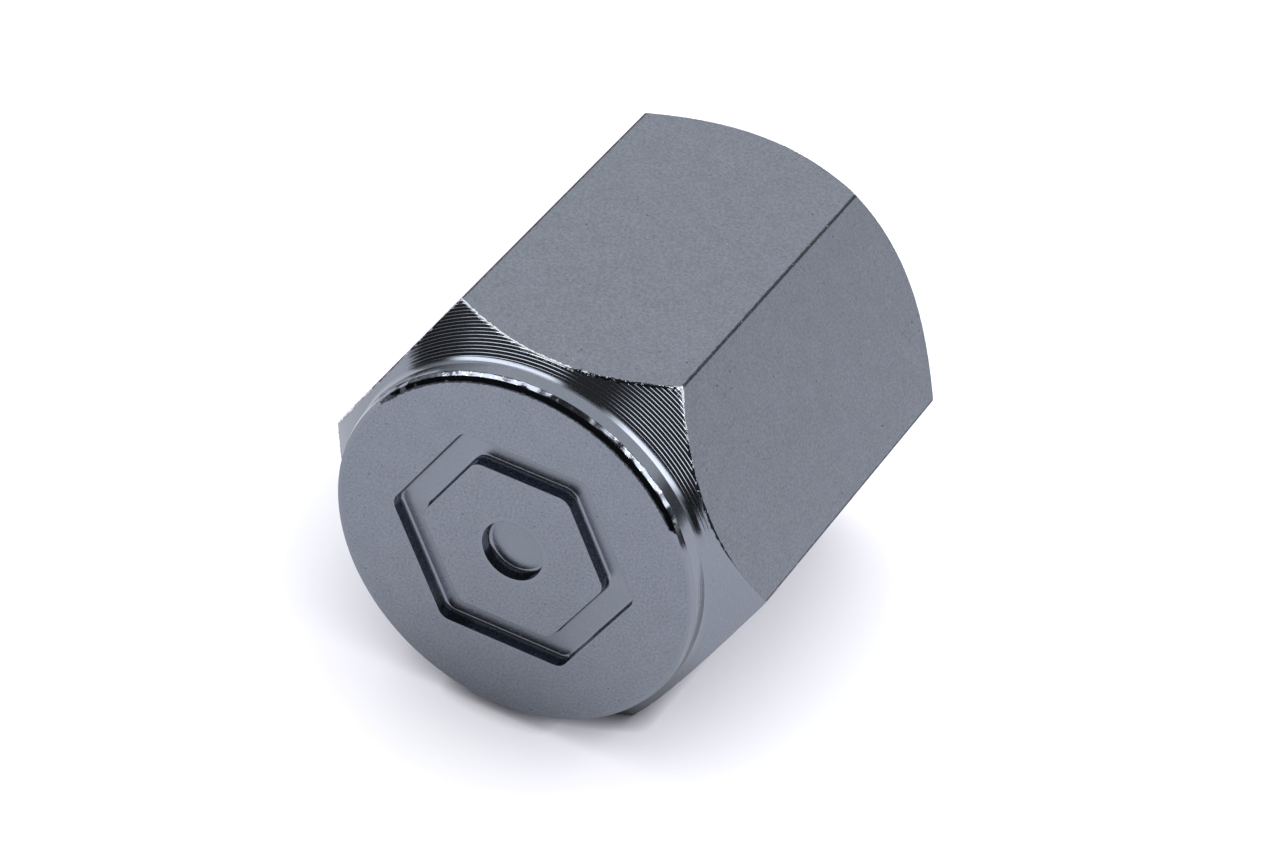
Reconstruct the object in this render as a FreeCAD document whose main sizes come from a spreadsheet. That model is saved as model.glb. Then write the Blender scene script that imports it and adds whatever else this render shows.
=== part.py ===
import FreeCAD, Part
import Sketcher
import math
import os

# Tyre valve cap, turned from hexagonal bar, lying on one of its flats.
# Millimetres, +Z up. The cap's axis is level and runs along Y: the closed face looks to -Y
# and the threaded mouth opens to +Y. The origin is the middle of the box's bottom.

# Driving dimensions, each one a cell of the sheet
SIZES = {
    # Hexagonal bar
    "across_flats": 10.0,
    "cap_length": 12.0,
    # Round neck and rim turned on the closed end
    "neck_step": 1.04,
    "neck_band": 0.43,
    "neck_root_fillet": 0.3,
    "rim_bevel_width": 0.16,
    "rim_bevel_length": 0.25,
    # Cones turned over the corners, from the plane of the end
    "closed_cone_angle": 47.5,
    "open_cone_angle": 47.0,
    "open_corner_cut": 0.82,
    # Blind bore for the valve stem, 7.7 mm thread with 32 turns to the inch
    "thread_bore": 6.9,
    "bore_depth": 9.2,
    "mouth_countersink": 0.55,
    "relief_step": 0.5,
    "relief_length": 2.7,
    # Rubber washer that seals on the end of the stem
    "washer_thickness": 1.4,
    "washer_hole": 3.6,
    "washer_clearance": 0.12,
    # Plain hexagon and dot sunk in the closed face
    "mark_flats": 5.6,
    "mark_groove": 0.7,
    "mark_corner_round": 0.35,
    "mark_dot": 1.6,
    "mark_depth": 0.35,
    "mark_floor_fillet": 0.1,
}

SIDES = 6

# Sizes that follow from the driving ones. Along the axis they count from the closed face.
CORNER_RADIUS = "Sizes.across_flats / sqrt(3)"
NECK_RADIUS = f"({CORNER_RADIUS} - Sizes.neck_step)"
FACE_RADIUS = f"({NECK_RADIUS} - Sizes.rim_bevel_width)"
NECK_END = "(Sizes.rim_bevel_length + Sizes.neck_band)"
OPEN_FACE_RADIUS = f"({CORNER_RADIUS} - Sizes.open_corner_cut)"
CLEAR_RADIUS = f"({CORNER_RADIUS} + Sizes.neck_step)"
BORE_RADIUS = "(Sizes.thread_bore / 2)"
RELIEF_RADIUS = f"({BORE_RADIUS} + Sizes.relief_step)"
MOUTH_RADIUS = f"({BORE_RADIUS} + Sizes.mouth_countersink)"
BORE_FLOOR = "(Sizes.cap_length - Sizes.bore_depth)"
RELIEF_END = f"({BORE_FLOOR} + Sizes.relief_length)"

document = FreeCAD.newDocument("tyre_valve_cap")
sheet = document.addObject("Spreadsheet::Sheet", "Sizes")
for row, (alias, value) in enumerate(SIZES.items(), start=1):
    sheet.set(f"A{row}", alias)
    sheet.set(f"B{row}", str(value))
    sheet.setAlias(f"B{row}", alias)
document.recompute()


def number(expression):
    """The present value of an expression on the sheet's sizes."""
    return float(sheet.evalExpression(expression))


def new_body(label):
    """A body on the cap's axis, laid down so that the bar's lower flat is at Z = 0."""
    body = document.addObject("PartDesign::Body", label)
    body.Label = label
    body.setExpression("Placement.Base.y", "-Sizes.cap_length / 2")
    body.setExpression("Placement.Base.z", "Sizes.across_flats / 2")
    return body


def origin_part(body, role):
    """One of the body's own origin planes or axes."""
    return next(part for part in body.Origin.OriginFeatures if part.Role == role)


def new_sketch(body, name, plane):
    sketch = body.newObject("Sketcher::SketchObject", name)
    sketch.AttachmentSupport = [(origin_part(body, plane), "")]
    sketch.MapMode = "FlatFace"
    return sketch


def bind(sketch, constraint, expression):
    """Adds a dimension to the sketch and ties it to the sheet."""
    index = sketch.addConstraint(constraint)
    sketch.setExpression(f"Constraints[{index}]", expression)


def turned_sketch(body, name, corners):
    """A closed outline beside the axis. A corner is (place along the axis, radius), with a
    third value where it is rounded."""
    sketch = new_sketch(body, name, "YZ_Plane")
    places = [FreeCAD.Vector(number(corner[0]), number(corner[1]), 0) for corner in corners]
    next_places = places[1:] + places[:1]
    middles = [(start + end) / 2 for start, end in zip(places, next_places)]
    for start, end in zip(places, next_places):
        sketch.addGeometry(Part.LineSegment(start, end))
    line_before = {line: (line - 1) % len(corners) for line in range(len(corners))}
    for line, before in line_before.items():
        sketch.addConstraint(Sketcher.Constraint("Coincident", before, 2, line, 1))

    # A rounding adds its arc and then a point that stays where the sharp corner was
    points = list(line_before)
    roundings = []
    for line, corner in enumerate(corners):
        if len(corner) == 3:
            before = line_before[line]
            arc = sketch.GeometryCount
            sketch.fillet(before, line, middles[before], middles[line], number(corner[2]), True, True)
            roundings.append((arc, corner[2]))
            points[line] = arc + 1

    for point, place, corner in zip(points, places, corners):
        bind(sketch, Sketcher.Constraint("DistanceX", -1, 1, point, 1, place.x), corner[0])
        bind(sketch, Sketcher.Constraint("DistanceY", -1, 1, point, 1, place.y), corner[1])
    for arc, rounding in roundings:
        bind(sketch, Sketcher.Constraint("Radius", arc, number(rounding)), rounding)
    return sketch


def add_circle(sketch, diameter):
    """A circle about the axis."""
    circle = Part.Circle(FreeCAD.Vector(), FreeCAD.Vector(0, 0, 1), number(diameter) / 2)
    index = sketch.addGeometry(circle)
    sketch.addConstraint(Sketcher.Constraint("Coincident", index, 3, -1, 1))
    bind(sketch, Sketcher.Constraint("Diameter", index, number(diameter)), diameter)
    return index


def add_hexagon(sketch, flats, corner_round=None):
    """A hexagon about the axis with level top and bottom flats, sharp or rounded."""
    guide = add_circle(sketch, flats)
    sketch.toggleConstruction(guide)
    apothem = number(flats) / 2
    radius = number(corner_round) if corner_round else 0
    half_turn = math.pi / SIDES
    half_side = (apothem - radius) * math.tan(half_turn)
    lines = []
    for side in range(SIDES):
        turned = FreeCAD.Rotation(FreeCAD.Vector(0, 0, 1), side * 360 / SIDES)
        start = turned.multVec(FreeCAD.Vector(half_side, apothem, 0))
        end = turned.multVec(FreeCAD.Vector(-half_side, apothem, 0))
        lines.append(sketch.addGeometry(Part.LineSegment(start, end)))
        sketch.addConstraint(Sketcher.Constraint("Tangent", lines[-1], guide))
    sketch.addConstraint(Sketcher.Constraint("Horizontal", lines[0]))
    for this, following in zip(lines, lines[1:]):
        sketch.addConstraint(Sketcher.Constraint("Angle", this, following, 2 * half_turn))
    next_lines = lines[1:] + lines[:1]
    if not corner_round:
        for this, following in zip(lines, next_lines):
            sketch.addConstraint(Sketcher.Constraint("Coincident", this, 2, following, 1))
        return

    arcs = []
    reach = (apothem - radius) / math.cos(half_turn)
    for side, (this, following) in enumerate(zip(lines, next_lines)):
        middle = math.pi / 2 + (2 * side + 1) * half_turn
        centre = FreeCAD.Vector(reach * math.cos(middle), reach * math.sin(middle), 0)
        circle = Part.Circle(centre, FreeCAD.Vector(0, 0, 1), radius)
        arc = Part.ArcOfCircle(circle, middle - half_turn, middle + half_turn)
        arcs.append(sketch.addGeometry(arc))
        sketch.addConstraint(Sketcher.Constraint("Tangent", this, 2, arcs[-1], 1))
        sketch.addConstraint(Sketcher.Constraint("Tangent", arcs[-1], 2, following, 1))
    for arc in arcs[1:]:
        sketch.addConstraint(Sketcher.Constraint("Equal", arcs[0], arc))
    bind(sketch, Sketcher.Constraint("Radius", arcs[0], radius), corner_round)


def turn(body, kind, name, sketch):
    """Spins a sketch round the axis, to add (Revolution) or to cut (Groove)."""
    feature = body.newObject(f"PartDesign::{kind}", name)
    feature.Profile = sketch
    feature.ReferenceAxis = (origin_part(body, "Y_Axis"), [""])
    feature.Angle = 360
    return feature


def round_edges(body, name, radius, belongs):
    """Fillets the edges of the body that the rule belongs picks."""
    document.recompute()
    base = body.Tip
    edges = [f"Edge{place}" for place, edge in enumerate(base.Shape.Edges, 1) if belongs(edge)]
    feature = body.newObject("PartDesign::Fillet", name)
    feature.Base = (base, edges)
    feature.setExpression("Radius", radius)
    return feature


def in_plane(along):
    """A rule that picks the edges that lie whole at one place along the axis."""
    place = number(along)

    def belongs(edge):
        box = edge.BoundBox
        return abs(box.YMin - place) < 1e-4 and abs(box.YMax - place) < 1e-4

    return belongs


def cone_length(radial, angle):
    """How far along the axis a cone runs while its radius grows by radial."""
    return f"({radial}) * tan(Sizes.{angle})"


# Cap body: hexagonal bar, turned at both ends, bored from the mouth, sunk mark on the face
cap = new_body("cap_body")

bar_outline = new_sketch(cap, "bar_outline", "XZ_Plane")
add_hexagon(bar_outline, "Sizes.across_flats")
bar = cap.newObject("PartDesign::Pad", "bar")
bar.Profile = bar_outline
bar.Reversed = True
bar.setExpression("Length", "Sizes.cap_length")

cone_far = f"{NECK_END} + " + cone_length(f"{CLEAR_RADIUS} - {NECK_RADIUS}", "closed_cone_angle")
closed_end_outline = turned_sketch(cap, "closed_end_outline", [
    ("0", FACE_RADIUS),
    ("Sizes.rim_bevel_length", NECK_RADIUS),
    (NECK_END, NECK_RADIUS, "Sizes.neck_root_fillet"),
    (cone_far, CLEAR_RADIUS),
    ("0", CLEAR_RADIUS),
])
turn(cap, "Groove", "closed_end_turning", closed_end_outline)

open_cone = cone_length(f"{CLEAR_RADIUS} - {OPEN_FACE_RADIUS}", "open_cone_angle")
open_end_outline = turned_sketch(cap, "open_end_outline", [
    ("Sizes.cap_length", OPEN_FACE_RADIUS),
    ("Sizes.cap_length", CLEAR_RADIUS),
    (f"Sizes.cap_length - {open_cone}", CLEAR_RADIUS),
])
turn(cap, "Groove", "open_end_turning", open_end_outline)

bore_outline = turned_sketch(cap, "bore_outline", [
    ("Sizes.cap_length", "0"),
    ("Sizes.cap_length", MOUTH_RADIUS),
    ("Sizes.cap_length - Sizes.mouth_countersink", BORE_RADIUS),
    (RELIEF_END, BORE_RADIUS),
    (f"{RELIEF_END} - Sizes.relief_step", RELIEF_RADIUS),
    (BORE_FLOOR, RELIEF_RADIUS),
    (BORE_FLOOR, "0"),
])
turn(cap, "Groove", "bore", bore_outline)

mark_outline = new_sketch(cap, "mark_outline", "XZ_Plane")
add_hexagon(mark_outline, "Sizes.mark_flats", "Sizes.mark_corner_round")
add_hexagon(mark_outline, "Sizes.mark_flats - 2 * Sizes.mark_groove", "Sizes.mark_corner_round")
add_circle(mark_outline, "Sizes.mark_dot")
mark = cap.newObject("PartDesign::Pocket", "mark")
mark.Profile = mark_outline
mark.setExpression("Length", "Sizes.mark_depth")

round_edges(cap, "mark_floor", "Sizes.mark_floor_fillet", in_plane("Sizes.mark_depth"))

# Sealing washer: ring punched from sheet rubber, seated on the bore's floor in the relief
washer = new_body("sealing_washer")
WASHER_RADIUS = f"({RELIEF_RADIUS} - Sizes.washer_clearance)"
WASHER_TOP = f"({BORE_FLOOR} + Sizes.washer_thickness)"
washer_outline = turned_sketch(washer, "washer_outline", [
    (BORE_FLOOR, "Sizes.washer_hole / 2"),
    (WASHER_TOP, "Sizes.washer_hole / 2"),
    (WASHER_TOP, WASHER_RADIUS),
    (BORE_FLOOR, WASHER_RADIUS),
])
turn(washer, "Revolution", "ring", washer_outline)

document.recompute()

# Nothing is written unless every object and every shape is sound
for item in document.Objects:
    faults = [state for state in item.State if state in ("Invalid", "Error")]
    if faults:
        raise RuntimeError(f"{item.Label} failed: {faults}")

pieces = [item for item in document.Objects if item.TypeId == "PartDesign::Body"]
for piece in pieces:
    if piece.Shape.isNull() or not piece.Shape.isValid() or len(piece.Shape.Solids) != 1:
        raise RuntimeError(f"{piece.Label} is not one sound solid")

os.makedirs("parts", exist_ok=True)
for piece in pieces:
    piece.Shape.exportStep(f"parts/{piece.Label}.step")
    print(piece.Label, "volume", round(piece.Shape.Volume, 3), "mm3")
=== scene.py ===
import math

import bpy
from mathutils import Matrix, Vector


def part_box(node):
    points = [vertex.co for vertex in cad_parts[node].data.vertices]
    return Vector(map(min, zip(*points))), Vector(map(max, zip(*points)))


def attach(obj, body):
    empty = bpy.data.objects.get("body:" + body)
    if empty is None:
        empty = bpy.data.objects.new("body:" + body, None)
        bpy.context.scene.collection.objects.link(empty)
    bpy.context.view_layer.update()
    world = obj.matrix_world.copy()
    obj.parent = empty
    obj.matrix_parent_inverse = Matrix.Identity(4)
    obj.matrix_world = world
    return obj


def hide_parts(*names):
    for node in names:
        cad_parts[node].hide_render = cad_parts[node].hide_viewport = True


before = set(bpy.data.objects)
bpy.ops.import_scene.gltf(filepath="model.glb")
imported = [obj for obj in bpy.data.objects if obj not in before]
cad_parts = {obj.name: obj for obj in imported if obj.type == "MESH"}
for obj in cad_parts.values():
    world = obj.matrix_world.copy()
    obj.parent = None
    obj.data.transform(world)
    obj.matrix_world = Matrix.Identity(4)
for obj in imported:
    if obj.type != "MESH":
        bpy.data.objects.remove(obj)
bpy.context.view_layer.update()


# Cap body
# One piece, turned from hexagonal aluminium bar, bead blasted and anodised gunmetal grey. The closed end has
# a round neck, the cones at both ends are the lathe's own turned surface, and the mark is milled in the face.

MM = 0.001

body_low, body_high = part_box("cap_body")
HALF_FLATS = (body_high.z - body_low.z) / 2
AXIS_HEIGHT = (body_high.z + body_low.z) / 2
CLOSED_FACE = body_low.y
OPEN_FACE = body_high.y
HALF_SIDE = math.radians(30)
CORNER = HALF_FLATS / math.cos(HALF_SIDE)
CORNER_ROUND = 0.04 * MM

NECK_RADIUS = CORNER - 1.04 * MM
NECK_END = CLOSED_FACE + 0.68 * MM
RIM_WIDTH = 0.138 * MM
RIM_LENGTH = 0.224 * MM
# Step cut in the rim for part of the way round. Elsewhere the rim is a bevel of this share of its length.
RIM_STEP = Vector((0.09, 0.1)) * MM
UNCUT_RIM_SHARE = 0.7
# Narrow bands that round the neck's root, and how far each leans out
ROOT_FACET = 0.067 * MM
ROOT_LEANS = (14, 21, 28)
CLOSED_CONE_SLOPE = math.tan(math.radians(47.5))
OPEN_CONE_SLOPE = math.tan(math.radians(47.0))
OPEN_FACE_RADIUS = CORNER - 0.82 * MM
EDGE_ROUND = 0.015 * MM

MARK_HALF_FLATS = 2.8 * MM
MARK_GROOVE = 0.7 * MM
MARK_CORNER_ROUND = 0.35 * MM
MARK_DOT_RADIUS = 0.8 * MM
MARK_DEPTH = 0.35 * MM
MARK_FILLET = 0.1 * MM

CREST_RADIUS = 3.45 * MM
ROOT_RADIUS = 3.85 * MM
MOUTH_RADIUS = 4.0 * MM
RELIEF_RADIUS = 3.95 * MM
RELIEF_START = -0.5 * MM
BORE_FLOOR = CLOSED_FACE + 2.8 * MM

# Ridges that the turning tool left on the cones: a short steep side and a long low one
RIDGE_PITCH = 0.0577 * MM
RIDGE_DEPTH = 0.0096 * MM
STEEP_SHARE = 0.1
RIDGE_ROWS = (0.0, STEEP_SHARE, 0.6)
FIRST_RIDGE_GAP = 0.005 * MM
COLUMNS_A_FLAT = 90
CORNER_CROWDING = 0.35

# What each stretch of the profile is finished as
BLASTED, TURNED, SUNK, BORED = range(4)


def outline(corners, steps=4):
    """Points of a line through corners, each a place as (radius, along) and the radius that rounds it."""
    places = [Vector(corner[:2]) for corner in corners]
    for number, (place, corner) in enumerate(zip(places, corners)):
        if corner[2] == 0:
            yield tuple(place)
            continue
        back = (places[number - 1] - place).normalized()
        onward = (places[(number + 1) % len(places)] - place).normalized()
        half_turn = (math.pi - back.angle(onward)) / 2
        middle = place + (back + onward).normalized() * corner[2] / math.cos(half_turn)
        start = place + back * corner[2] * math.tan(half_turn) - middle
        end = place + onward * corner[2] * math.tan(half_turn) - middle
        for step in range(steps + 1):
            yield tuple(middle + start.normalized().slerp(end.normalized(), step / steps) * corner[2])


class Profile:
    """Half of a turned section, row by row, in the order that a walk round its outside meets them."""

    FACTS = ("share", "round", "rough", "bare", "grain", "step", "zone")

    def __init__(self):
        self.points = []
        self.facts = {fact: [] for fact in self.FACTS}

    def add(self, points, zone, share=-1.0, corner=0.0, rough=0.0, bare=0.0, grain=0.0, step=0.0):
        """Rows of a zone. share is the way along a flat, or -1 where it isn't one; corner rounds a hexagon;
        step is how far a row moves to the front where the rim's step isn't cut."""
        for radius, along in points:
            self.points.append((radius, along, 0.0))
            for held, value in zip(self.facts.values(), (share, corner, rough, bare, grain, step, zone)):
                held.append(value)

    def mesh(self, name):
        made = bpy.data.meshes.new(name)
        made.from_pydata(self.points, [], [])
        for fact, values in self.facts.items():
            made.attributes.new(fact, "FLOAT", "POINT").data.foreach_set("value", values)
        return made


profile = Profile()
mark_floor = CLOSED_FACE + MARK_DEPTH
BESIDE = 0.06 * MM

# Dot
profile.add(outline([
    (0.0, mark_floor, 0),
    (MARK_DOT_RADIUS, mark_floor, MARK_FILLET),
    (MARK_DOT_RADIUS, CLOSED_FACE, EDGE_ROUND),
    (MARK_DOT_RADIUS + BESIDE, CLOSED_FACE, 0),
]), SUNK)

# Groove: each row of a hexagon keeps its distance from the wall's own rounded corners
inner_wall = MARK_HALF_FLATS - MARK_GROOVE
groove_middle = MARK_HALF_FLATS - MARK_GROOVE / 2
inner_rows = list(outline([
    (inner_wall - BESIDE, CLOSED_FACE, 0),
    (inner_wall, CLOSED_FACE, EDGE_ROUND),
    (inner_wall, mark_floor, MARK_FILLET),
    (groove_middle, mark_floor, 0),
]))[:-1]
outer_rows = list(outline([
    (groove_middle, mark_floor, 0),
    (MARK_HALF_FLATS, mark_floor, MARK_FILLET),
    (MARK_HALF_FLATS, CLOSED_FACE, EDGE_ROUND),
    (MARK_HALF_FLATS + BESIDE, CLOSED_FACE, 0),
]))[1:]
profile.add([(MARK_DOT_RADIUS + 2 * BESIDE, CLOSED_FACE)], BLASTED)
for rows, wall in ((inner_rows, inner_wall), (outer_rows, MARK_HALF_FLATS)):
    for flats, along in rows:
        beside = along == CLOSED_FACE
        profile.add([(flats, along)], BLASTED if beside else SUNK, corner=MARK_CORNER_ROUND + flats - wall)

# Face, rim, neck, and the narrow band that the tool's nose left at the neck's root
rim_inner = NECK_RADIUS - RIM_WIDTH
root_width = ROOT_FACET * sum(math.sin(math.radians(lean)) for lean in ROOT_LEANS)
root = [Vector((NECK_RADIUS + root_width, NECK_END + CLOSED_CONE_SLOPE * root_width))]
for lean in reversed(ROOT_LEANS):
    step = Vector((math.sin(math.radians(lean)), math.cos(math.radians(lean)))) * ROOT_FACET
    root.insert(0, root[0] - step)
profile.add([(MARK_HALF_FLATS + 2 * BESIDE, CLOSED_FACE)], BLASTED, corner=MARK_CORNER_ROUND)
profile.add([(rim_inner - 1.5 * BESIDE, CLOSED_FACE)], BLASTED)
# This row carries painted dark specks at the edge of the rim's dark reflected band
profile.add([(rim_inner - EDGE_ROUND, CLOSED_FACE)], BLASTED, grain=1.0)
neck = outline([
    (rim_inner, CLOSED_FACE, 0),
    (rim_inner + RIM_STEP.x / 2, CLOSED_FACE + RIM_STEP.y / 2, 0),
    (rim_inner + RIM_STEP.x, CLOSED_FACE + RIM_STEP.y, 2 * EDGE_ROUND),
    (NECK_RADIUS, CLOSED_FACE + RIM_LENGTH, EDGE_ROUND),
    (*root[0], EDGE_ROUND),
    (*root[1], 0),
    (*root[2], 0),
    (*root[3], 2 * EDGE_ROUND),
    (root[3].x + root_width, root[3].y + CLOSED_CONE_SLOPE * root_width, 0),
])
for radius, along in list(neck)[:-1]:
    depth = along - CLOSED_FACE
    on_rim = depth < RIM_LENGTH
    past_step = depth > RIM_STEP.y
    if depth < RIM_STEP.y + EDGE_ROUND:
        filled = depth
    elif depth < RIM_LENGTH + EDGE_ROUND:
        filled = depth * (1 - UNCUT_RIM_SHARE)
    else:
        filled = 0.0
    # On the rim, bare rows take bare metal that is partly a painted highlight, and grain rows take painted
    # dark specks
    profile.add([(radius, along)], TURNED, rough=float(on_rim), bare=float(on_rim and past_step),
                grain=float(on_rim and not past_step), step=filled)

# Closed end's cone, the flats, and the open end's cone
FLAT_ROWS = (0.0, 0.003, 0.006, 0.015, 0.05, 0.15, 0.35, 0.65, 0.85, 0.95, 0.985, 0.994, 0.997)
cone_start = profile.points[-1][0] + FIRST_RIDGE_GAP
back_start = OPEN_FACE_RADIUS + EDGE_ROUND


def ridge_radii(start):
    """Radii of the rows that a cone's ridges need, from where it starts out to the bar's corners."""
    for ridge in range(math.ceil((CORNER - start) / RIDGE_PITCH)):
        for row in RIDGE_ROWS:
            yield start + (ridge + row) * RIDGE_PITCH


profile.add([(radius, 0.0) for radius in ridge_radii(cone_start)], TURNED, share=0.0)
for share in FLAT_ROWS:
    profile.add([(2 * CORNER, 0.0)], BLASTED, share=share)
profile.add([(radius, 0.0) for radius in reversed(list(ridge_radii(back_start)))], TURNED, share=1.0)

# Open face, mouth, bore to the thread's root, relief and floor
profile.add(outline([
    (OPEN_FACE_RADIUS - EDGE_ROUND, OPEN_FACE, 0),
    (MOUTH_RADIUS, OPEN_FACE, EDGE_ROUND),
    (ROOT_RADIUS, OPEN_FACE - MOUTH_RADIUS + ROOT_RADIUS, 0),
    (ROOT_RADIUS, RELIEF_START - ROOT_RADIUS + CREST_RADIUS, 0),
    (RELIEF_RADIUS, RELIEF_START - RELIEF_RADIUS + CREST_RADIUS, 0),
    (RELIEF_RADIUS, BORE_FLOOR, 3 * EDGE_ROUND),
    (0.0, BORE_FLOOR, 0),
]), BORED)


def add(tree, kind, inputs=(), **settings):
    """Adds a node with its settings. An input takes a number, or the output it is linked to."""
    node = tree.nodes.new(kind)
    for name, value in settings.items():
        setattr(node, name, value)
    for name, value in (inputs.items() if isinstance(inputs, dict) else enumerate(inputs)):
        if isinstance(value, bpy.types.Node):
            value = value.outputs[0]
        if isinstance(value, bpy.types.NodeSocket):
            tree.links.new(value, node.inputs[name])
        else:
            node.inputs[name].default_value = value
    return node


def new_group(name, inputs, outputs=(("Geometry", "NodeSocketGeometry"),)):
    """A node tree with its named inputs and outputs, and its two end nodes."""
    tree = bpy.data.node_groups.new(name, "GeometryNodeTree")
    for socket, kind in inputs:
        tree.interface.new_socket(socket, in_out="INPUT", socket_type=kind)
    for socket, kind in outputs:
        tree.interface.new_socket(socket, in_out="OUTPUT", socket_type=kind)
    return tree, tree.nodes.new("NodeGroupInput"), tree.nodes.new("NodeGroupOutput")


def made_by(tree, source, name, values):
    """The mesh that a node tree makes from a source mesh, as a plain object at the origin."""
    seed = bpy.data.objects.new(name + "_seed", source)
    bpy.context.scene.collection.objects.link(seed)
    modifier = seed.modifiers.new("nodes", "NODES")
    modifier.node_group = tree
    for item in tree.interface.items_tree:
        if item.in_out == "INPUT" and item.name in values:
            modifier[item.identifier] = values[item.name]
    evaluated = seed.evaluated_get(bpy.context.evaluated_depsgraph_get())
    mesh = bpy.data.meshes.new_from_object(evaluated)
    mesh.name = name
    bpy.data.objects.remove(seed)
    piece = bpy.data.objects.new(name, mesh)
    bpy.context.scene.collection.objects.link(piece)
    return piece


def row_fact(tree, source, row, name):
    """A fact of a row of the source mesh: its position, or one of its named values."""
    if name == "position":
        field, kind = add(tree, "GeometryNodeInputPosition"), "FLOAT_VECTOR"
    else:
        field, kind = add(tree, "GeometryNodeInputNamedAttribute", [name]), "FLOAT"
    return add(tree, "GeometryNodeSampleIndex", {"Geometry": source, "Value": field, "Index": row},
               data_type=kind, domain="POINT")


def grid_of(tree, source, columns):
    """A grid with a row for each point of the source, and fields that give a point's row and column."""
    rows = add(tree, "GeometryNodeAttributeDomainSize", [source], component="MESH")
    grid = add(tree, "GeometryNodeMeshGrid", {"Vertices X": rows, "Vertices Y": columns})
    index = add(tree, "GeometryNodeInputIndex")
    row = add(tree, "ShaderNodeMath", [add(tree, "ShaderNodeMath", [index, columns], operation="DIVIDE")],
              operation="FLOOR")
    column = add(tree, "ShaderNodeMath", [index, columns], operation="MODULO")
    return grid, row, column


def closed_and_shaded(tree, mesh, sharp):
    """Joins the grid's meeting sides, and shades it smooth but for edges sharper than an angle in degrees."""
    mesh = add(tree, "GeometryNodeMergeByDistance", {"Geometry": mesh, "Distance": 1e-4 * MM})
    mesh = add(tree, "GeometryNodeSetShadeSmooth", {"Geometry": mesh}, domain="FACE")
    bend = add(tree, "GeometryNodeInputMeshEdgeAngle")
    crest = add(tree, "ShaderNodeMath", [bend, math.radians(sharp)], operation="GREATER_THAN")
    mesh = add(tree, "GeometryNodeSetShadeSmooth",
               {"Geometry": mesh, "Selection": crest, "Shade Smooth": False}, domain="EDGE")
    return add(tree, "GeometryNodeRealizeInstances", {"Geometry": mesh})


def hexagon_tree():
    """Distance from the middle to a hexagon's side or rounded corner, by the angle from a side's middle."""
    tree, given, result = new_group(
        "rounded_hexagon",
        [("Half flats", "NodeSocketFloat"), ("Round", "NodeSocketFloat"), ("Angle", "NodeSocketFloat")],
        [("Radius", "NodeSocketFloat")],
    )
    flats, corner, angle = given.outputs[:3]
    side = add(tree, "ShaderNodeMath", [flats, add(tree, "ShaderNodeMath", [angle], operation="COSINE")],
               operation="DIVIDE")
    inset = add(tree, "ShaderNodeMath", [flats, corner], operation="SUBTRACT")
    middle = add(tree, "ShaderNodeMath", [inset, math.cos(HALF_SIDE)], operation="DIVIDE")
    off = add(tree, "ShaderNodeMath", [HALF_SIDE, angle], operation="SUBTRACT")
    across, onward = (
        add(tree, "ShaderNodeMath", [middle, add(tree, "ShaderNodeMath", [off], operation=turn)],
            operation="MULTIPLY")
        for turn in ("SINE", "COSINE")
    )
    left = add(tree, "ShaderNodeMath", [
        add(tree, "ShaderNodeMath", [corner, corner], operation="MULTIPLY"),
        add(tree, "ShaderNodeMath", [across, across], operation="MULTIPLY"),
    ], operation="SUBTRACT")
    bulge = add(tree, "ShaderNodeMath", [add(tree, "ShaderNodeMath", [left, 0.0], operation="MAXIMUM")],
                operation="SQRT")
    rounded = add(tree, "ShaderNodeMath", [onward, bulge], operation="ADD")
    reach = add(tree, "ShaderNodeMath", [flats, add(tree, "ShaderNodeMath", [angle], operation="TANGENT")],
                operation="MULTIPLY")
    side_end = add(tree, "ShaderNodeMath", [inset, math.tan(HALF_SIDE)], operation="MULTIPLY")
    on_side = add(tree, "FunctionNodeCompare", {0: reach, 1: side_end}, operation="LESS_EQUAL")
    chosen = add(tree, "GeometryNodeSwitch", {"Switch": on_side, "False": rounded, "True": side},
                 input_type="FLOAT")
    tree.links.new(chosen.outputs[0], result.inputs[0])
    return tree


# By the angle round the axis from the right, in degrees: how wide the cones' edges in the flats are burred,
# how much of that is bare and bright, how much of the rim is, how rough the rim is, and where its step is
# cut.
# The bright shares follow where the edges catch the light: bare metal that is partly a painted highlight.
BY_ANGLE = {
    "burred": (
        (0, 0.0), (11, 0.0), (18, 0.22), (30, 0.35), (46, 0.3), (55, 0.35), (58, 0.8), (60, 1.0), (61.5, 0.6),
        (66, 0.5), (78, 0.55), (88, 0.5), (92, 0.55), (118, 0.5), (122, 0.4), (135, 0.3), (180, 0.45),
        (240, 0.45), (290, 0.3), (305, 0.08), (345, 0.04), (360, 0.0),
    ),
    "bright": (
        (0, 0.0), (25, 0.05), (38, 0.25), (48, 0.35), (53, 0.6), (56, 1.0), (60, 1.0), (61.5, 0.5),
        (62.5, 0.15), (78, 0.3), (85, 0.5), (88, 0.85), (100, 1.0), (118, 1.0), (124, 0.4), (150, 0.3),
        (180, 0.8), (186, 0.4), (240, 0.7), (270, 0.3), (300, 0.6), (330, 0.2), (360, 0.0),
    ),
    "rim bare": (
        (0, 0.0), (38, 0.0), (43, 0.35), (66, 0.35), (70, 0.0), (80, 0.05), (84, 0.3), (110, 0.35),
        (118, 0.3), (124, 0.1), (160, 0.05), (200, 0.0), (250, 0.1), (360, 0.0),
    ),
    "rim rough": ((0, 0.0), (31, 0.0), (34, 1.0), (138, 1.0), (146, 0.4), (152, 0.0), (360, 0.0)),
    "step cut": ((0, 0.0), (29, 0.0), (35, 1.0), (138, 1.0), (150, 0.0), (360, 0.0)),
}
# The open end's edges are narrower burred, by this share
OPEN_END_CLEANER = 0.7
# Unevenness along a ridge: its size, how far on in the noise the next ridge is, so that no two are alike, and
# how much the ridge's depth varies
RIDGE_UNEVEN = 0.25 * MM
NEXT_RIDGE = 2.3 * MM
RIDGE_DEPTH_SHARES = (0.9, 1.15)
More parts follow.
